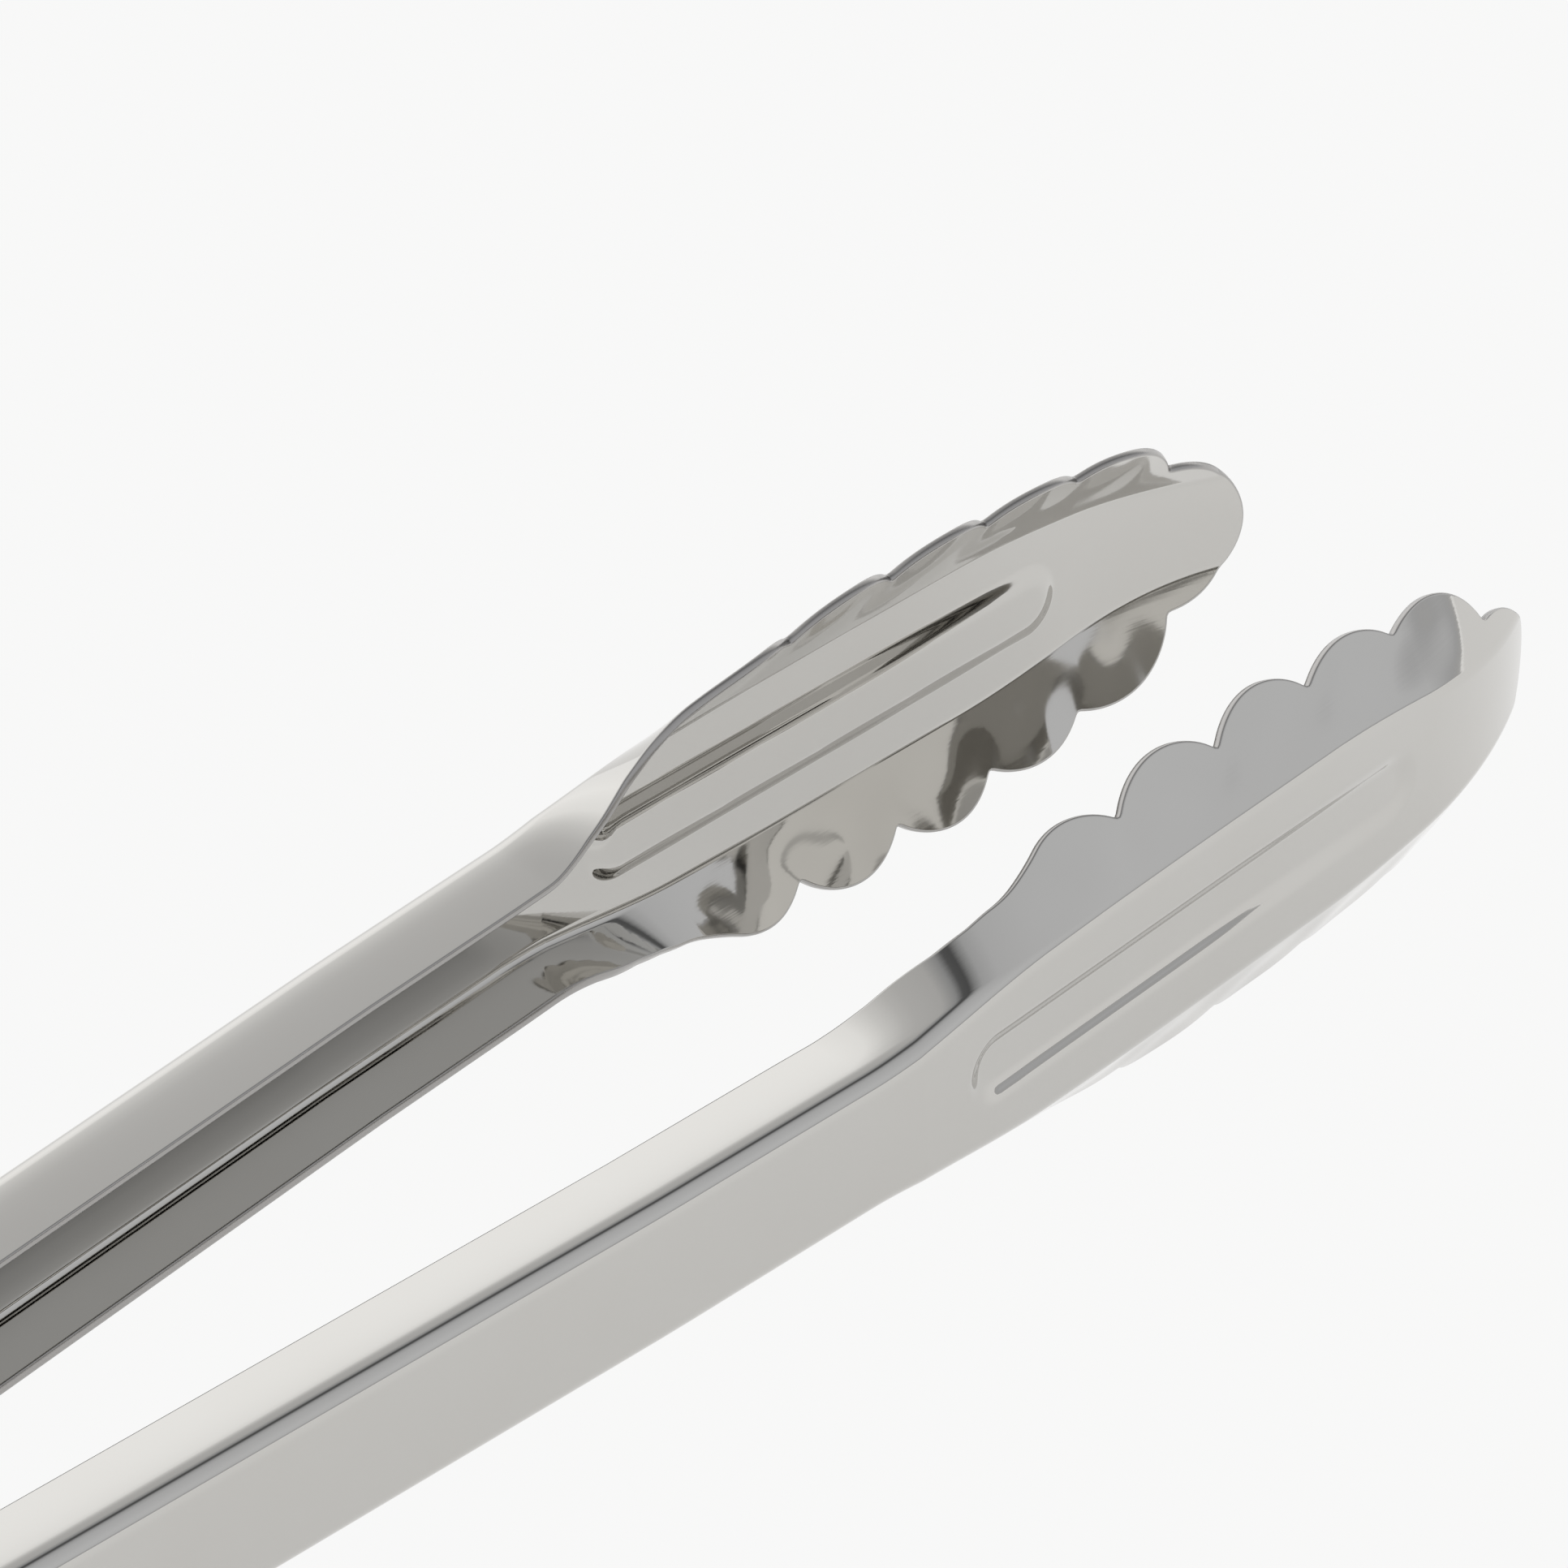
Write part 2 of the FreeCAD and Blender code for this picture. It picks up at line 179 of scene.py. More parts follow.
def flangeEdge(s, rearHalf):
    # q of the free edge along the plain part of the arm
    a = arm
    flat, radius, turn = sectionAt(s, rearHalf)
    grown = np.clip((s - a["earEnd"]) / (a["taperEnd"] - a["earEnd"]), 0, 1)
    depth = a["shortFlange"] + (a["flange"] - a["shortFlange"]) * grown
    lean = np.radians(a["lean"] * ease(s, a["earEnd"], a["leanFull"]))
    return flat + radius * turn + depth / np.cos(lean) - radius * np.tan(turn / 2)


# down the neck (s, depth of the flange); then places in plan (s, z): where the neck ends, where the first lobe
# starts, and each notch with the swell of the lobe before it
jaw = {
    "neckDepths": [(286.0, 9.15), (290.0, 8.46), (294.0, 7.72), (298.0, 6.85), (302.0, 6.65)],
    "neckFoot": (304.7, 13.83), "neckHollow": 0.2, "firstLobe": (312.0, 16.1),
    "notches": [(322.4, 15.25, 1.5), (336.7, 15.8, 3.1), (350.4, 15.8, 2.9), (363.8, 15.0, 2.35),
                (378.4, 9.5, 3.25)],
    "tip": 387.9, "tipRadius": 9.5, "tipCentre": 378.4,
}


def swollenArc(start, end, swell, count):
    # points on the circular arc from start to end that swells away from the middle line by swell
    (x0, z0), (x1, z1) = start, end
    chord = math.hypot(x1 - x0, z1 - z0)
    radius = (chord * chord / 4 + swell * swell) / (2 * swell)
    half = math.asin(min(1.0, chord / 2 / radius)) if swell < radius else math.pi - math.asin(chord / 2 / radius)
    t = np.linspace(-half, half, count)
    u, w = (x1 - x0) / chord, (z1 - z0) / chord
    along, out = radius * np.sin(t), radius * np.cos(t) - radius + swell
    x = (x0 + x1) / 2 + along * u - out * w
    z = (z0 + z1) / 2 + along * w + out * u
    return np.stack([x, z], -1)


def outline(rearHalf):
    # half outline of the sheet as (s, q): round the stop tab, tail and ear, along the flange and the neck,
    # round the scallops and the tip
    a = arm
    tabEnd = a["foldAt"] - a["foldRadius"] * math.pi / 2 - (a["back"] - a["foldRadius"] - a["tabEdge"])
    bendEnd = rearHalf - a["bend"] + a["bend"] * math.pi / 2
    depth = a["back"] - a["bend"]
    reach = math.hypot(a["earEnd"], a["back"] - a["shortFlange"])
    leave = math.atan2(a["back"] - a["shortFlange"], a["earEnd"]) - math.acos(a["earRadius"] / reach)
    turn = np.linspace(math.pi, 2 * math.pi + leave, 60)
    ear = np.stack([a["earRadius"] * np.cos(turn), bendEnd + depth - a["earRadius"] * np.sin(turn)], -1)
    tail = np.array([(tabEnd, 0), (tabEnd, a["tabHalfWidth"]),
                     (a["foldAt"] - a["tabCorner"], a["tabHalfWidth"]),
                     (a["foldAt"], a["tabHalfWidth"] + a["tabCorner"]), (a["foldAt"], bendEnd)])
    plain = np.array([a["earEnd"], 40, a["leanFull"], 80, a["taperEnd"], 200, 280.0])
    flange = np.stack([plain, flangeEdge(plain, rearHalf)], -1)
    along, depths = np.array(jaw["neckDepths"]).T
    flat, radius, turn = sectionAt(along, rearHalf)
    neck = np.stack([along, flat + radius * (turn - np.tan(turn / 2)) + depths], -1)
    lobes = [swollenArc(jaw["firstLobe"], jaw["neckFoot"], jaw["neckHollow"], 20)[::-1]]
    start = jaw["firstLobe"]
    for x, z, swell in jaw["notches"]:
        lobes.append(swollenArc(start, (x, z), swell, 40))
        start = (x, z)
    swing = np.linspace(math.pi / 2, 0, 40)
    tip = np.stack([jaw["tipCentre"] + (jaw["tip"] - jaw["tipCentre"]) * np.cos(swing),
                    jaw["tipRadius"] * np.sin(swing)], -1)
    plan = np.concatenate(lobes + [tip])
    plan = np.stack([plan[:, 0], acrossFor(plan[:, 0], plan[:, 1], rearHalf)], -1)
    return np.concatenate([tail, ear, flange, neck, plan])


def spread(points, spacing):
    # the same line with its points about spacing(s) apart
    step = np.hypot(*np.diff(points, axis=0).T)
    keep = np.concatenate([[True], step > 1e-6])
    points = points[keep]
    length = np.concatenate([[0], np.cumsum(np.hypot(*np.diff(points, axis=0).T))])
    fine = np.linspace(0, length[-1], 12000)
    s = np.interp(fine, length, points[:, 0])
    weight = np.cumsum(1 / spacing(s))
    marks = np.linspace(weight[0], weight[-1], int((weight[-1] - weight[0]) * (fine[1] - fine[0])) + 2)
    at = np.interp(marks, weight, fine)
    return np.stack([np.interp(at, length, points[:, 0]), np.interp(at, length, points[:, 1])], -1)


def softened(line, reach):
    # each point eased towards its neighbours, ends held on the middle line
    whole = np.concatenate([line[1:][::-1] * [1, -1], line, line[:-1][::-1] * [1, -1]])
    kernel = np.exp(-0.5 * (np.arange(-6, 7) / reach) ** 2)
    kernel /= kernel.sum()
    eased = np.stack([np.convolve(whole[:, k], kernel, "same") for k in (0, 1)], -1)
    count = len(line)
    return eased[count - 1:2 * count - 1]


# columns across the half web, the bend, the flange and round one free edge; spacing of the rows on the
# tail, the plain part and the jaw, and the places where it changes
grid = {
    "web": 26, "bend": 12, "flange": 12, "rim": 6, "webShare": 0.62, "bendShare": 0.7, "crowding": 1.25,
    "tailStep": 0.55, "plainStep": 4.5, "jawStep": 0.42, "widens": (26, 60), "narrows": (262, 286),
    "soften": 0.9, "window": 41,
}


def rowStep(s):
    # fine on the tail and the jaw, up to tailStep + plainStep between them
    g = grid
    plain = np.minimum(ease(s, *g["widens"]), 1 - ease(s, *g["narrows"]))
    onTail = np.where(s < g["widens"][0], g["tailStep"], g["tailStep"] + g["plainStep"] * plain)
    return np.where(s > g["narrows"][1], g["jawStep"], onTail)


def armSheet(rearHalf):
    # closed sheet as a grid: rows follow the half outline, each row runs across the outer face, round
    # one free edge, back across the inner face and round the other edge
    a, g = arm, grid
    line = softened(spread(outline(rearHalf), rowStep), g["soften"])
    tangent = np.gradient(line, axis=0)
    tangent[0], tangent[-1] = (0, 1), (0, -1)
    tangent /= np.linalg.norm(tangent, axis=1, keepdims=True)
    outwardEdge = np.stack([-tangent[:, 1], tangent[:, 0]], -1)
    line = line - outwardEdge * a["edgeRound"]
    line[0, 1] = line[-1, 1] = 0.0
    sEdge, qEdge = line[:, 0], np.maximum(line[:, 1], 0)
    # the middle line's s rises steadily from the tail's end to the tip
    middle = np.maximum.accumulate(sEdge)
    kernel = np.hanning(g["window"])
    kernel /= kernel.sum()
    half = g["window"] // 2
    padded = np.concatenate([np.full(half, sEdge[0]), middle, np.full(half, sEdge[-1])])
    middle = np.convolve(padded, kernel, "valid")
    ramp = np.linspace(0, 1, len(middle))
    middle = np.clip(middle, sEdge[0], sEdge[-1])
    middle = np.maximum.accumulate(middle + 1e-5 * ramp)
    middle = sEdge[0] + (middle - middle[0]) * (sEdge[-1] - sEdge[0]) / (middle[-1] - middle[0])
    flat, radius, turn = sectionAt(np.maximum(sEdge, a["foldAt"]), rearHalf)
    webEnd = np.minimum(flat, g["webShare"] * qEdge)
    bendEnd = np.minimum(flat + radius * turn, webEnd + g["bendShare"] * (qEdge - webEnd))
    bendEnd = np.maximum(bendEnd, webEnd)
    web = np.linspace(0, 1, g["web"] + 1)
    bend = np.linspace(0, 1, g["bend"] + 1)[1:]
    wing = 1 - (1 - np.linspace(0, 1, g["flange"] + 1)[1:]) ** g["crowding"]
    q = np.concatenate([webEnd[:, None] * web, webEnd[:, None] + (bendEnd - webEnd)[:, None] * bend,
                        bendEnd[:, None] + (qEdge - bendEnd)[:, None] * wing], 1)
    share = q / np.maximum(qEdge, 1e-9)[:, None]
    share[qEdge < 1e-9] = np.linspace(0, 1, q.shape[1])
    s = middle[:, None] + (sEdge - middle)[:, None] * share ** 2
    s = np.concatenate([s[:, :0:-1], s], 1)
    q = np.concatenate([-q[:, :0:-1], q], 1)
    outer = sheetPoint(s, q, rearHalf)
    normal = sheetNormal(s, q, rearHalf)
    inner = outer - normal * a["sheet"]
    rims = []
    for side in (1, -1):
        edge = -1 if side > 0 else 0
        n = normal[:, edge]
        mid = outer[:, edge] - n * a["sheet"] / 2
        step = 0.02
        ahead = sheetPoint(sEdge + outwardEdge[:, 0] * step, side * (qEdge + outwardEdge[:, 1] * step), rearHalf)
        out = ahead - sheetPoint(sEdge, side * qEdge, rearHalf)
        out = out - (out * n).sum(-1, keepdims=True) * n
        out /= np.linalg.norm(out, axis=-1, keepdims=True)
        around = np.linspace(0, math.pi, g["rim"] + 1)[1:-1]
        c, d = np.cos(around), np.sin(around)
        lift = np.sign(c) * np.abs(c) ** a["edgePower"] * a["sheet"] / 2
        push = d ** a["edgePower"] * a["edgeRound"]
        points = mid[:, None] + n[:, None] * lift[:, None] + out[:, None] * push[:, None]
        normals = n[:, None] * (c * np.abs(c))[:, None] + out[:, None] * d[:, None]
        normals /= np.linalg.norm(normals, axis=-1, keepdims=True)
        rims.append((points, normals) if side > 0 else (points[:, ::-1], normals[:, ::-1]))
    rows = np.concatenate([outer, rims[0][0], inner[:, ::-1], rims[1][0]], 1)
    normals = np.concatenate([normal, rims[0][1], -normal[:, ::-1], rims[1][1]], 1)
    places = [np.concatenate([v, np.repeat(v[:, -1:], g["rim"] - 1, 1), v[:, ::-1],
                              np.repeat(v[:, :1], g["rim"] - 1, 1)], 1) for v in (s, q)]
    return rows, normals, *places


def gridFaces(rows, columns):
    # quads of a grid whose last column meets its first
    r, c = np.meshgrid(np.arange(rows - 1), np.arange(columns), indexing="ij")
    n = (c + 1) % columns
    near, far = r * columns, (r + 1) * columns
    return np.stack([near + c, near + n, far + n, far + c], -1).reshape(-1, 4)


def meshOf(name, points, faces, flip=False):
    # smooth shaded mesh of points in metres; flip turns its faces over
    mesh = bpy.data.meshes.new(name)
    faces = faces[:, ::-1] if flip else faces
    mesh.from_pydata(points.reshape(-1, 3).tolist(), [], faces.tolist())
    mesh.polygons.foreach_set("use_smooth", np.ones(len(mesh.polygons), bool))
    return mesh


def turned(vectors, side):
    # turned by the arm's opening angle about the hinge axis, and mirrored for the lower arm
    c, n = math.cos(openAngle), math.sin(openAngle)
    return np.stack([vectors[..., 0] * c - vectors[..., 1] * n,
                     side * (vectors[..., 0] * n + vectors[..., 1] * c), vectors[..., 2]], -1)


def placed(points, side):
    # from an arm's own frame in mm to the tongs' frame in metres; side 1 is the upper arm
    return turned(points, side) / 1000 + hingeAt


def drillEar(mesh, middleOfHole, radius, side):
    # opens the rivet hole on one flange: drops the faces inside it, rounds its rim and walls it
    bm = bmesh.new()
    bm.from_mesh(mesh)
    hx, hy = middleOfHole[0], middleOfHole[1]
    doomed = [f for f in bm.faces if side * (f.calc_center_median().z - hingeAt[2]) > arm["halfWidth"] / 2000
              and abs(f.normal.z) > 0.9
              and math.hypot(f.calc_center_median().x - hx, f.calc_center_median().y - hy) < radius]
    bmesh.ops.delete(bm, geom=doomed, context="FACES")
    rim = [e for e in bm.edges if e.is_boundary]
    for v in {v for e in rim for v in e.verts}:
        away = Vector((v.co.x - hx, v.co.y - hy))
        away = away.normalized() * radius
        v.co.x, v.co.y = hx + away.x, hy + away.y
    made = bmesh.ops.bridge_loops(bm, edges=rim)
    for f in made["faces"]:
        f.smooth = False
    bm.to_mesh(mesh)
    bm.free()


def makeArm(name, body, side, rearHalf):
    # the sheet's grid placed as one piece, its repeated points joined at the tip and the tail, with its exact
    # normals and the attributes for its material: place on the sheet, and 1 on the cut edges
    rows, normals, along, across = armSheet(rearHalf)
    count, columns = rows.shape[:2]
    points = placed(rows, side)
    faces = gridFaces(count, columns)
    mesh = meshOf(name, points, faces, flip=side < 0)
    layer = mesh.attributes.new("smoothNormal", "FLOAT_VECTOR", "POINT")
    layer.data.foreach_set("vector", turned(normals, side).astype(np.float32).ravel())
    rim = np.zeros(rows.shape[:2], np.float32)
    rimLines = grid["rim"] - 1
    faceColumns = columns // 2 - rimLines
    rim[:, faceColumns:faceColumns + rimLines] = 1
    rim[:, -rimLines:] = 1
    mesh.attributes.new("cutEdge", "FLOAT", "POINT").data.foreach_set("value", rim.ravel())
    place = np.stack([along, across, np.zeros_like(along)], -1) / 1000
    layer = mesh.attributes.new("sheetPlace", "FLOAT_VECTOR", "POINT")
    layer.data.foreach_set("vector", place.astype(np.float32).ravel())
    bm = bmesh.new()
    bm.from_mesh(mesh)
    bmesh.ops.remove_doubles(bm, verts=bm.verts, dist=2e-6)
    bmesh.ops.dissolve_degenerate(bm, dist=1e-7, edges=bm.edges)
    bm.to_mesh(mesh)
    bm.free()
    for z in (1, -1):
        drillEar(mesh, hingeAt, arm["holeRadius"] / 1000, z)
    wanted = np.zeros(len(mesh.vertices) * 3, np.float32)
    mesh.attributes["smoothNormal"].data.foreach_get("vector", wanted)
    wanted = wanted.reshape(-1, 3)
    wanted /= np.maximum(np.linalg.norm(wanted, axis=1, keepdims=True), 1e-9)
    mesh.normals_split_custom_set_from_vertices(wanted.tolist())
    piece = bpy.data.objects.new(name, mesh)
    bpy.context.scene.collection.objects.link(piece)
    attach(piece, body)
    print(name, "sheet", count, "rows of", columns, "faces", len(mesh.polygons))
    return piece


lowerSheet = makeArm("lower_arm_sheet", "lower", -1, arm["halfWidth"])
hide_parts("lower_arm")
upperSheet = makeArm("upper_arm_sheet", "upper", 1, arm["nestedHalfWidth"])
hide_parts("upper_arm")


# The hinge's small parts are in mm about the hinge axis, heights from the middle plane.


def lathe(profile, closed, segments=72):
    # profile of (radius, height) carried round the hinge axis; a closed profile makes a ring
    turn = np.arange(segments) * 2 * math.pi / segments
    radius, height = np.array(profile, float).T
    points = np.stack([radius[:, None] * np.cos(turn), radius[:, None] * np.sin(turn),
                       np.repeat(height[:, None], segments, 1)], -1)
    if closed:
        points = np.concatenate([points, points[:1]])
    return points, gridFaces(len(points), segments)


def rounded(corners, reach, steps=5):
    # closed outline whose corners are cut back by reach and rounded by a curve through the corner's pull
    c = np.array(corners, float)
    before, after = np.roll(c, 1, 0) - c, np.roll(c, -1, 0) - c
    before *= reach / np.linalg.norm(before, axis=1, keepdims=True)
    after *= reach / np.linalg.norm(after, axis=1, keepdims=True)
    t = np.linspace(0, 1, steps)[None, :, None]
    line = (c + before)[:, None] * (1 - t) ** 2 + 2 * c[:, None] * t * (1 - t) + (c + after)[:, None] * t ** 2
    return line.reshape(-1, 2)


def tube(path, wire, reference, sides=20, caps=5, capReach=0.55):
    # a circle of radius wire carried along the path, turned by the reference direction, with domed ends that
    # stand out by capReach of the radius
    ahead = np.gradient(path, axis=0)
    ahead /= np.linalg.norm(ahead, axis=1, keepdims=True)
    right = np.cross(ahead, reference)
    right /= np.linalg.norm(right, axis=1, keepdims=True)
    upwards = np.cross(right, ahead)
    swing = np.linspace(0, math.pi / 2, caps + 1)[:-1]
    width = np.sin(swing)
    first = path[0] - ahead[0] * wire * (np.cos(swing) * capReach)[:, None]
    last = path[-1] + ahead[-1] * wire * (np.cos(swing[::-1]) * capReach)[:, None]
    middle = np.concatenate([first, path, last])
    size = np.concatenate([width, np.ones(len(path)), width[::-1]]) * wire
    right = np.concatenate([np.repeat(right[:1], caps, 0), right, np.repeat(right[-1:], caps, 0)])
    upwards = np.concatenate([np.repeat(upwards[:1], caps, 0), upwards,
                              np.repeat(upwards[-1:], caps, 0)])
    around = np.arange(sides) * 2 * math.pi / sides
    points = (middle[:, None] + right[:, None] * (size[:, None] * np.cos(around))[..., None]
              + upwards[:, None] * (size[:, None] * np.sin(around))[..., None])
    return points, gridFaces(len(points), sides)


def evenPath(points, step, reach):
    # the same path with even steps, its corners eased over reach steps
    along = np.concatenate([[0], np.cumsum(np.linalg.norm(np.diff(points, axis=0), axis=1))])
    marks = np.linspace(0, along[-1], int(along[-1] / step) + 1)
    line = np.stack([np.interp(marks, along, points[:, k]) for k in range(3)], -1)
    width = int(3 * reach)
    kernel = np.exp(-0.5 * (np.arange(-width, width + 1) / reach) ** 2)
    kernel /= kernel.sum()
    head = line[0] - (line[1] - line[0]) * np.arange(width, 0, -1)[:, None]
    tail = line[-1] + (line[-1] - line[-2]) * np.arange(1, width + 1)[:, None]
    padded = np.concatenate([head, line, tail])
    return np.stack([np.convolve(padded[:, k], kernel, "valid") for k in range(3)], -1)


def smallPart(name, shells, body, node, material):
    # joins shells of (points in mm about the hinge, faces) into one piece on a body
    points, faces, start = [], [], 0
    for shellPoints, shellFaces in shells:
        flat = shellPoints.reshape(-1, 3)
        points.append(flat / 1000 + hingeAt)
        faces.append(shellFaces + start)
        start += len(flat)
    mesh = meshOf(name, np.concatenate(points), np.concatenate(faces))
    bm = bmesh.new()
    bm.from_mesh(mesh)
    bmesh.ops.remove_doubles(bm, verts=bm.verts, dist=1e-7)
    bmesh.ops.recalc_face_normals(bm, faces=bm.faces)
    bm.to_mesh(mesh)
    bm.free()
    mesh.materials.append(material)
    piece = bpy.data.objects.new(name, mesh)
    bpy.context.scene.collection.objects.link(piece)
    if body:
        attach(piece, body)
    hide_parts(node)
    print(name, "faces", len(mesh.polygons))
    return piece


rivet = {"shaft": 2.0, "head": 3.9, "half": 9.65, "dome": 1.5, "rimRound": 0.22, "dimple": 0.16, "chamfer": 0.06,
         "neck": 0.05}


def rivetProfile():
    # half a section from the bottom head's pole to the top head's pole; the heads are low domes with a
    # rounded rim, and the formed one has a shallow dimple
    r = rivet
    share = np.linspace(0, 1, 26)
    hollow = r["dimple"] * (1 - ease(share, 0.12, 0.42))
    dome = r["half"] + r["dome"] * np.sqrt(np.clip(1 - (share * 0.97) ** 2, 0, 1)) ** 1.15
    rim = np.array([(r["head"], r["half"] + r["rimRound"]), (r["head"] - r["chamfer"], r["half"] + r["chamfer"]),
                    (r["head"] - r["rimRound"], r["half"]), (r["shaft"] + r["neck"], r["half"]),
                    (r["shaft"], r["half"] - r["neck"])])
    plain = np.concatenate([np.stack([share * r["head"], dome], -1), rim])
    formed = np.concatenate([np.stack([share * r["head"], dome - hollow], -1), rim])
    return np.concatenate([plain * [1, -1], formed[::-1]])


washer = {"bore": 2.1, "outer": 4.4, "low": 9.025, "high": 9.625, "round": 0.12}
sleeve = {"bore": 2.05, "outer": 2.7, "low": -6.6, "high": 6.6, "round": 0.16}


def ringProfile(size):
    # section of a ring from its bore, outer radius and heights, with rounded corners
    low, high = size["low"], size["high"]
    return rounded([(size["bore"], low), (size["outer"], low), (size["outer"], high), (size["bore"], high)],
                   size["round"])


spring = {"wire": 0.75, "coil": 3.75, "pitch": 1.62, "turns": 4.5, "legEnd": 34.0, "legReach": 5.4,
          "step": 0.2, "easing": 2.2}


def springPath():
    # leg on the lower arm, left handed coil climbing the hinge axis, leg on the upper arm
    p = spring
    half = p["pitch"] * p["turns"] / 2
    turn = np.linspace(0, 1, 420)
    angle = -math.pi / 2 - turn * p["turns"] * 2 * math.pi
    coil = np.stack([p["coil"] * np.cos(angle), p["coil"] * np.sin(angle), half * (2 * turn - 1)], -1)
    c, n = math.cos(openAngle), math.sin(openAngle)
    x, y = p["legEnd"] * c - p["legReach"] * n, p["legEnd"] * n + p["legReach"] * c
    return evenPath(np.concatenate([[(x, -y, -half)], coil, [(x, y, half)]]), p["step"], p["easing"])


loop = {"wire": 0.9, "eye": 3.68, "height": 5.6, "reach": 24.0, "neck": 7.6, "neckRun": 1.5, "neckAside": 0.15,
        "eyeFrom": -158, "eyeTo": 138, "step": 0.25, "easing": 2.5}


def loopPath():
    # eye round the sleeve, neck, straight side, half circle, and the same again mirrored
    p = loop
    turn = np.radians(np.linspace(p["eyeFrom"], p["eyeTo"], 60))
    eye = np.stack([p["eye"] * np.cos(turn), p["eye"] * np.sin(turn), np.full_like(turn, p["height"])], -1)
    side = np.array([(-p["neck"], p["neckAside"], p["height"]), (-p["neck"] - p["neckRun"], 0, p["height"]),
                     (-p["reach"], 0, p["height"])])
    swing = np.linspace(math.pi / 2, 0, 30)[1:]
    bend = np.stack([-p["reach"] - p["height"] * np.cos(swing), np.zeros_like(swing),
                     p["height"] * np.sin(swing)], -1)
    half = np.concatenate([eye, side, bend])
    return evenPath(np.concatenate([half, half[-2::-1] * [1, 1, -1]]), p["step"], p["easing"])


def addNode(tree, kind, values=None, **settings):
    # new node with its settings and the values of its inputs
    node = tree.nodes.new("ShaderNode" + kind)
    for key, value in settings.items():
        setattr(node, key, value)
    for key, value in (values or {}).items():
        node.inputs[key].default_value = value
    return node


def newGroup(name, inputs, outputs):
    # empty shader group with named sockets: inputs give a kind and a first value
    group = bpy.data.node_groups.new(name, "ShaderNodeTree")
    for label, (kind, first) in inputs.items():
        socket = group.interface.new_socket(label, in_out="INPUT", socket_type="NodeSocket" + kind)
        if first is not None:
            socket.default_value = first
    for label, kind in outputs.items():
        group.interface.new_socket(label, in_out="OUTPUT", socket_type="NodeSocket" + kind)
    return group, group.nodes.new("NodeGroupInput"), group.nodes.new("NodeGroupOutput")


def polishGroup():
    # fine polishing lines along the first axis, faint clouds of haze and shallow waves in the sheet
    group, given, made = newGroup(
        "polish", {"Place": ("Vector", None), "Line Stretch": ("Vector", (8, 900, 900)),
                   "Haze Scale": ("Float", 40.0), "Wave Scale": ("Float", 60.0)},
        {"Lines": "Float", "Haze": "Float", "Waves": "Float"})
    links = group.links
    stretch = addNode(group, "VectorMath", operation="MULTIPLY")
    links.new(given.outputs["Place"], stretch.inputs[0])
    links.new(given.outputs["Line Stretch"], stretch.inputs[1])
    for label, source, scale, detail in (("Lines", stretch.outputs[0], None, 2.0),
                                         ("Haze", given.outputs["Place"], "Haze Scale", 4.0),
                                         ("Waves", given.outputs["Place"], "Wave Scale", 1.0)):
        noise = addNode(group, "TexNoise", {"Scale": 1.0, "Detail": detail, "Roughness": 0.55})
        links.new(source, noise.inputs["Vector"])
        if scale:
            links.new(given.outputs[scale], noise.inputs["Scale"])
        links.new(noise.outputs["Fac"], made.inputs[label])
    return group


def wearGroup():
    # mask of small scattered rubs and specks, for surfaces that are handled
    group, given, made = newGroup("rubs", {"Place": ("Vector", None), "Scale": ("Float", 120.0),
                                           "Amount": ("Float", 0.5)}, {"Mask": "Float"})
    links = group.links
    noise = addNode(group, "TexNoise", {"Detail": 6.0, "Roughness": 0.65})
    links.new(given.outputs["Place"], noise.inputs["Vector"])
    links.new(given.outputs["Scale"], noise.inputs["Scale"])
    spread = addNode(group, "MapRange", {"From Min": 0.56, "From Max": 0.72})
    links.new(noise.outputs["Fac"], spread.inputs["Value"])
    amount = addNode(group, "Math", operation="MULTIPLY")
    links.new(spread.outputs["Result"], amount.inputs[0])
    links.new(given.outputs["Amount"], amount.inputs[1])
    links.new(amount.outputs[0], made.inputs["Mask"])
    return group


polish, rubs = polishGroup(), wearGroup()


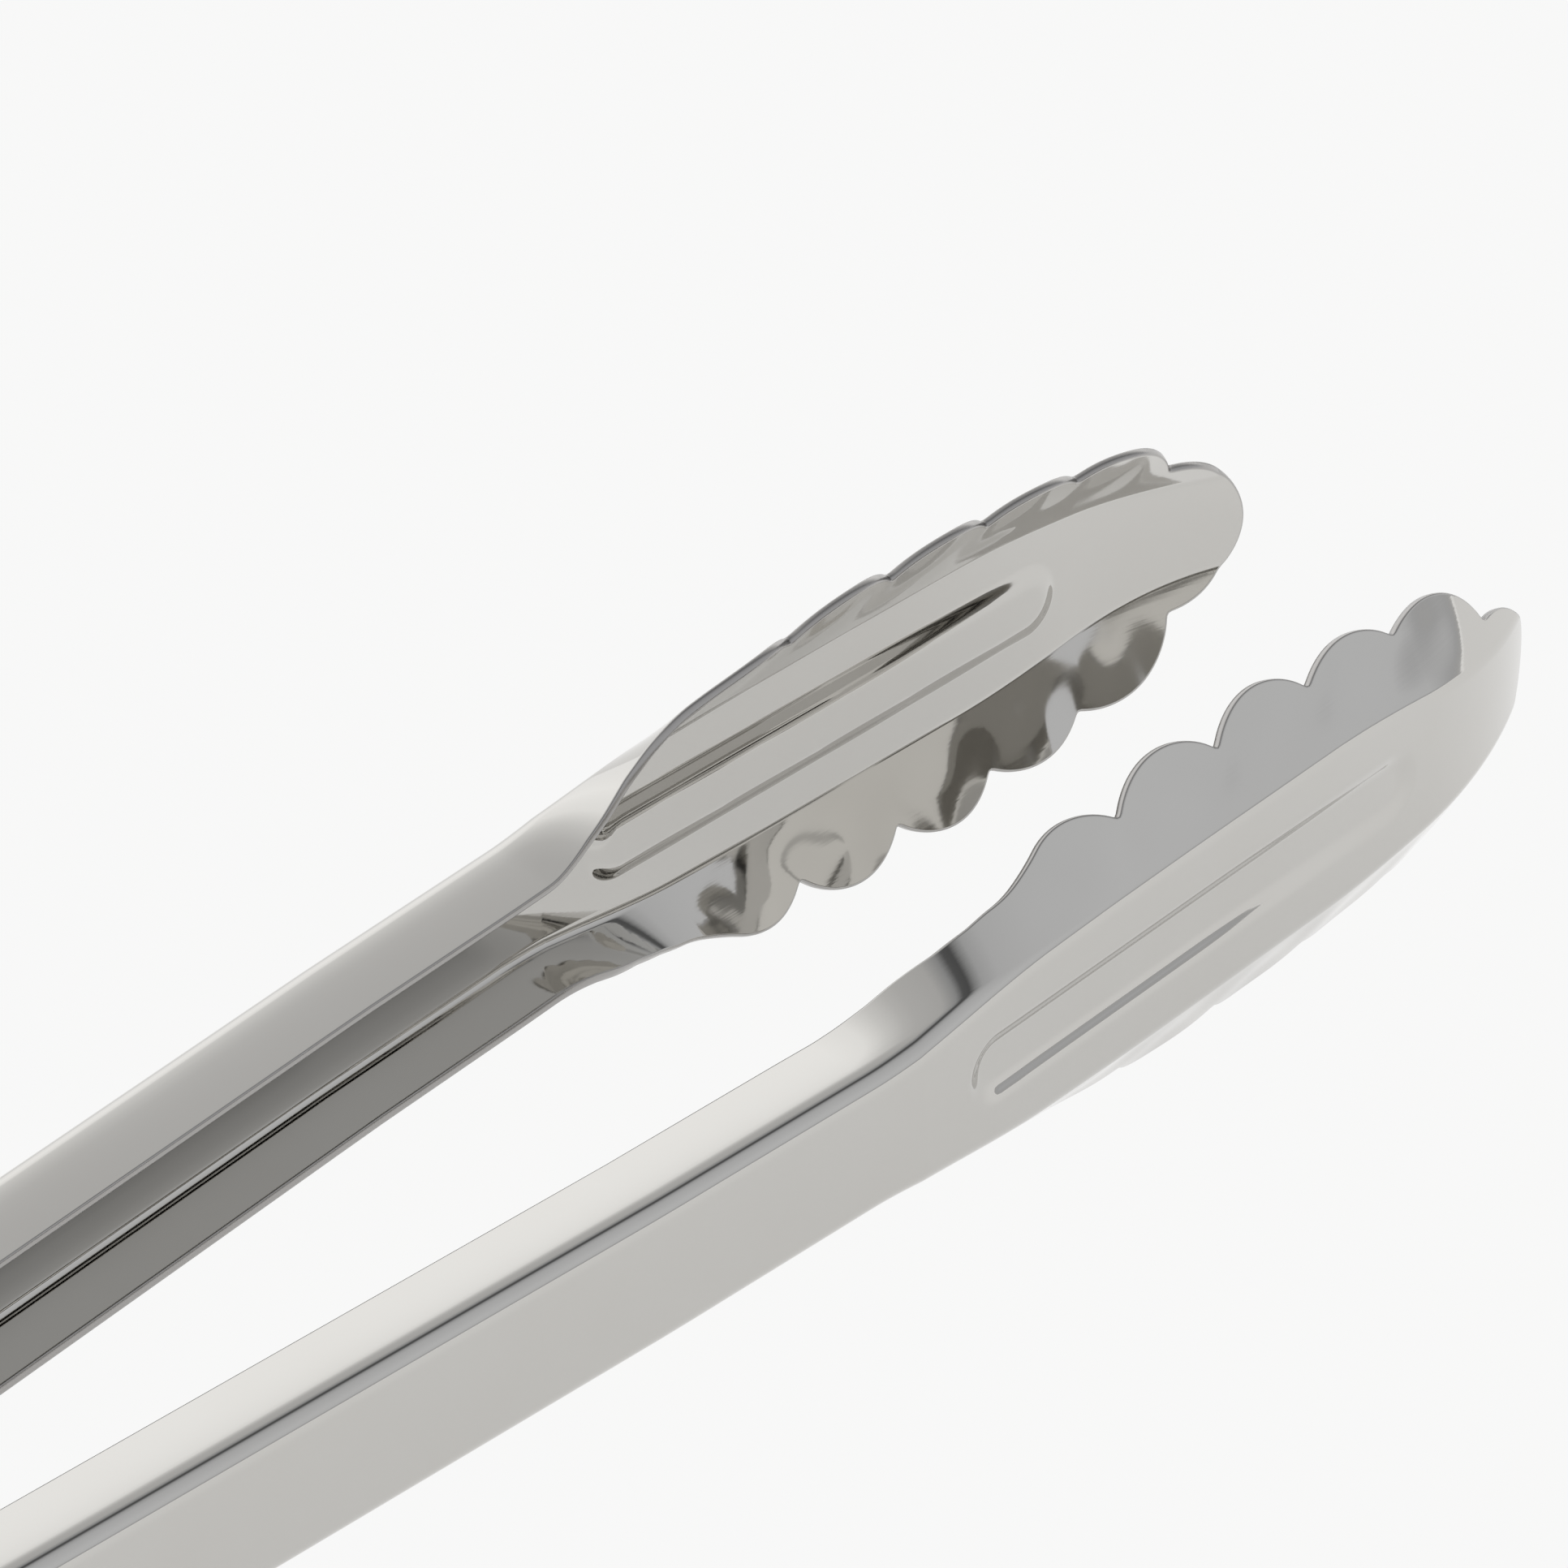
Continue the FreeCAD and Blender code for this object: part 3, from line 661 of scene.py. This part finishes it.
def steel(name, tone, darker, roughness, look, placeName=None):
    # metal whose tone, roughness and small relief come from the shared groups; look holds the amounts, and
    # placeName is the attribute with the place on the sheet, whose cut edges are darker and rougher
    m = bpy.data.materials.new(name)
    m.use_nodes = True
    tree = m.node_tree
    links = tree.links
    shader = tree.nodes["Principled BSDF"]
    shader.inputs["Metallic"].default_value = 1.0
    if placeName:
        place = addNode(tree, "Attribute", attribute_name=placeName).outputs["Vector"]
    else:
        place = addNode(tree, "TexCoord").outputs["Object"]
    lines = addNode(tree, "Group", node_tree=polish)
    lines.inputs["Line Stretch"].default_value = look["stretch"]
    lines.inputs["Haze Scale"].default_value = look["hazeScale"]
    lines.inputs["Wave Scale"].default_value = look["waveScale"]
    links.new(place, lines.inputs["Place"])
    marks = addNode(tree, "Group", node_tree=rubs)
    marks.inputs["Scale"].default_value = look["rubScale"]
    marks.inputs["Amount"].default_value = look["rubs"]
    links.new(place, marks.inputs["Place"])
    tint = addNode(tree, "Mix", data_type="RGBA")
    tint.inputs["A"].default_value = (*tone, 1)
    tint.inputs["B"].default_value = (*darker, 1)
    links.new(lines.outputs["Haze"], tint.inputs["Factor"])
    colour = tint.outputs["Result"]
    rough = addNode(tree, "MapRange", {"From Min": 0.3, "From Max": 0.7, "To Min": roughness,
                                       "To Max": roughness + look["hazeRough"]})
    links.new(lines.outputs["Haze"], rough.inputs["Value"])
    rubbed = addNode(tree, "Math", operation="MULTIPLY_ADD")
    rubbed.inputs[1].default_value = look["rubRough"]
    links.new(marks.outputs["Mask"], rubbed.inputs[0])
    links.new(rough.outputs["Result"], rubbed.inputs[2])
    roughOut = rubbed.outputs[0]
    if placeName:
        edge = addNode(tree, "Attribute", attribute_name="cutEdge")
        cut = addNode(tree, "Mix", data_type="RGBA")
        cut.inputs["B"].default_value = (*look["cutTone"], 1)
        links.new(edge.outputs["Fac"], cut.inputs["Factor"])
        links.new(colour, cut.inputs["A"])
        colour = cut.outputs["Result"]
        torn = addNode(tree, "Math", operation="MULTIPLY_ADD")
        torn.inputs[1].default_value = look["cutRough"]
        links.new(edge.outputs["Fac"], torn.inputs[0])
        links.new(roughOut, torn.inputs[2])
        roughOut = torn.outputs[0]
    links.new(colour, shader.inputs["Base Color"])
    links.new(roughOut, shader.inputs["Roughness"])
    waves = addNode(tree, "Math", operation="MULTIPLY")
    waves.inputs[1].default_value = look["waves"]
    links.new(lines.outputs["Waves"], waves.inputs[0])
    relief = addNode(tree, "Math", operation="MULTIPLY_ADD")
    relief.inputs[1].default_value = look["lines"]
    links.new(lines.outputs["Lines"], relief.inputs[0])
    links.new(waves.outputs[0], relief.inputs[2])
    bump = addNode(tree, "Bump", {"Strength": 1.0, "Distance": 0.001})
    links.new(relief.outputs[0], bump.inputs["Height"])
    links.new(bump.outputs["Normal"], shader.inputs["Normal"])
    return m


sheetLook = {"stretch": (30, 2500, 2500), "hazeScale": 55.0, "waveScale": 45.0, "rubScale": 260.0, "rubs": 0.25,
             "hazeRough": 0.03, "rubRough": 0.06, "waves": 0.045, "lines": 0.0012,
             "cutTone": (0.40, 0.39, 0.38), "cutRough": 0.22}
wireLook = {"stretch": (400, 400, 3000), "hazeScale": 300.0, "waveScale": 500.0, "rubScale": 900.0, "rubs": 0.7,
            "hazeRough": 0.08, "rubRough": 0.15, "waves": 0.004, "lines": 0.012}
turnedLook = dict(wireLook, stretch=(700, 700, 5200), lines=0.016)
polishedSteel = steel("polishedSteel", (0.575, 0.567, 0.547), (0.555, 0.543, 0.518), 0.035, sheetLook,
                      "sheetPlace")
rivetSteel = steel("rivetSteel", (0.56, 0.555, 0.54), (0.47, 0.465, 0.45), 0.2, turnedLook)
sleeveSteel = steel("sleeveSteel", (0.5, 0.495, 0.485), (0.42, 0.415, 0.405), 0.3, turnedLook)
springSteel = steel("springSteel", (0.46, 0.46, 0.465), (0.36, 0.36, 0.365), 0.24, wireLook)
loopSteel = steel("loopSteel", (0.58, 0.57, 0.55), (0.5, 0.49, 0.47), 0.1, wireLook)
for piece in (lowerSheet, upperSheet):
    piece.data.materials.append(polishedSteel)
print("materials made")

smallPart("hinge_rivet_formed", [lathe(rivetProfile(), False)], "lower", "hinge_rivet", rivetSteel)
ring = ringProfile(washer)
smallPart("rivet_washer_pair", [lathe(ring, True), lathe(ring * [1, -1], True)], "lower", "rivet_washers",
          rivetSteel)
smallPart("hinge_sleeve_tube", [lathe(ringProfile(sleeve), True)], "lower", "hinge_sleeve",
          sleeveSteel)

path = springPath()
upright = np.tile([0.0, 0.0, 1.0], (len(path), 1))
wound = smallPart("torsion_spring_wire", [tube(path, spring["wire"], upright)], None, "torsion_spring",
                  springSteel)
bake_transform(wound)

# the loop's reference direction goes from sideways at its half circle to upright at its eyes
path = loopPath()
share = ease(path[:, 0], -loop["reach"], -loop["neck"] - 2)
lean = np.stack([np.zeros(len(path)), 1 - share, share], -1)
smallPart("hanging_loop_wire", [tube(path, loop["wire"], lean)], "loop", "hanging_loop", loopSteel)


# white is what the camera sees of table and room; arc holds the brightness that the steel reflects, by the
# share of a half turn from +Y over the top to -Y, slightly blue beyond blueFrom
studio = {
    "floorSize": 6.0, "floorAt": -0.00002, "white": (0.939, 0.939, 0.936),
    "tableGlow": 0.7, "tableMatt": (0.46, 0.455, 0.45), "blueFrom": 0.5, "blue": (0.985, 1.0, 1.03),
    "arc": [(0.0, 1.2), (0.128, 1.36), (0.222, 1.25), (0.278, 0.95), (0.333, 0.75), (0.372, 0.68),
            (0.472, 0.62), (0.528, 0.4), (0.556, 0.13), (0.583, 0.11), (0.606, 0.34), (0.633, 0.54),
            (0.694, 0.66), (0.778, 0.70), (0.889, 0.76), (0.956, 0.74), (0.983, 0.55), (1.0, 0.55)],
}


def seenOrLit(tree, lit, seen, end):
    # camera rays get the seen shader and every other ray the lit one
    ray = addNode(tree, "LightPath")
    choose = addNode(tree, "MixShader")
    tree.links.new(ray.outputs["Is Camera Ray"], choose.inputs["Fac"])
    tree.links.new(lit.outputs[0], choose.inputs[1])
    tree.links.new(seen.outputs[0], choose.inputs[2])
    tree.links.new(choose.outputs["Shader"], addNode(tree, end).inputs["Surface"])


def tableMaterial():
    # even white to the camera; the steel mirrors a matt table that also glows, so it darkens near the arms
    m = bpy.data.materials.new("paleTable")
    m.use_nodes = True
    tree = m.node_tree
    tree.nodes.clear()
    white = (*studio["white"], 1)
    seen = addNode(tree, "Emission", {"Color": white})
    glow = addNode(tree, "Emission", {"Color": white, "Strength": studio["tableGlow"]})
    matt = addNode(tree, "BsdfDiffuse", {"Color": (*studio["tableMatt"], 1)})
    lit = addNode(tree, "AddShader")
    tree.links.new(glow.outputs["Emission"], lit.inputs[0])
    tree.links.new(matt.outputs["BSDF"], lit.inputs[1])
    seenOrLit(tree, lit, seen, "OutputMaterial")
    return m


def studioWorld():
    # soft boxes and dark gaps as bands along X: the angle in the plane across the tongs picks the brightness
    world = bpy.data.worlds.new("studio")
    world.use_nodes = True
    tree = world.node_tree
    tree.nodes.clear()
    split = addNode(tree, "SeparateXYZ")
    tree.links.new(addNode(tree, "TexCoord").outputs["Generated"], split.inputs["Vector"])
    angle = addNode(tree, "Math", operation="ARCTAN2")
    tree.links.new(split.outputs["Z"], angle.inputs[0])
    tree.links.new(split.outputs["Y"], angle.inputs[1])
    share = addNode(tree, "Math", {1: math.pi}, operation="DIVIDE")
    tree.links.new(angle.outputs[0], share.inputs[0])
    bands = addNode(tree, "ValToRGB")
    tree.links.new(share.outputs[0], bands.inputs["Fac"])
    stops = bands.color_ramp.elements
    stops[0].position, stops[1].position = studio["arc"][0][0], studio["arc"][-1][0]
    for at, value in studio["arc"][1:-1]:
        stops.new(at)
    for stop, (at, value) in zip(stops, studio["arc"]):
        inside = studio["blueFrom"] < at < 1
        tint = studio["blue"] if inside else (1.0, 1.0, 1.0)
        stop.color = (*(value * c for c in tint), 1)
    lit, seen = addNode(tree, "Background"), addNode(tree, "Background", {"Color": (*studio["white"], 1)})
    tree.links.new(bands.outputs["Color"], lit.inputs["Color"])
    seenOrLit(tree, lit, seen, "OutputWorld")
    return world


half, low = studio["floorSize"] / 2, studio["floorAt"]
floorMesh = bpy.data.meshes.new("floor")
floorMesh.from_pydata([(-half, -half, low), (half, -half, low), (half, half, low), (-half, half, low)], [],
                      [(0, 1, 2, 3)])
floorMesh.materials.append(tableMaterial())
floor = bpy.data.objects.new("floor", floorMesh)
bpy.context.scene.collection.objects.link(floor)
bpy.context.scene.world = studioWorld()
print("table and room made")

# camera place in metres, angles in radians
view = {"at": (-0.164132, -0.299487, 0.339376), "azimuth": -2.33081, "height": 0.628549, "roll": -0.0393836,
        "lens": 123.415, "sensor": 36}


def makeCamera():
    # looks back along the direction given by azimuth and height, turned about it by roll
    az, el, roll = view["azimuth"], view["height"], view["roll"]
    backward = Vector((math.cos(el) * math.cos(az), math.cos(el) * math.sin(az), math.sin(el)))
    right = Vector((0, 0, 1)).cross(backward).normalized()
    upward = backward.cross(right)
    right, upward = (math.cos(roll) * right + math.sin(roll) * upward,
                     -math.sin(roll) * right + math.cos(roll) * upward)
    camera = bpy.data.cameras.new("camera")
    camera.sensor_width, camera.lens = view["sensor"], view["lens"]
    camera.clip_start, camera.clip_end = 0.01, 50
    eye = bpy.data.objects.new("camera", camera)
    bpy.context.scene.collection.objects.link(eye)
    turn = Matrix((right, upward, backward)).transposed()
    eye.matrix_world = Matrix.Translation(view["at"]) @ turn.to_4x4()
    return eye


bpy.context.scene.camera = makeCamera()
bpy.context.scene.view_settings.view_transform = "Standard"
print("camera set")
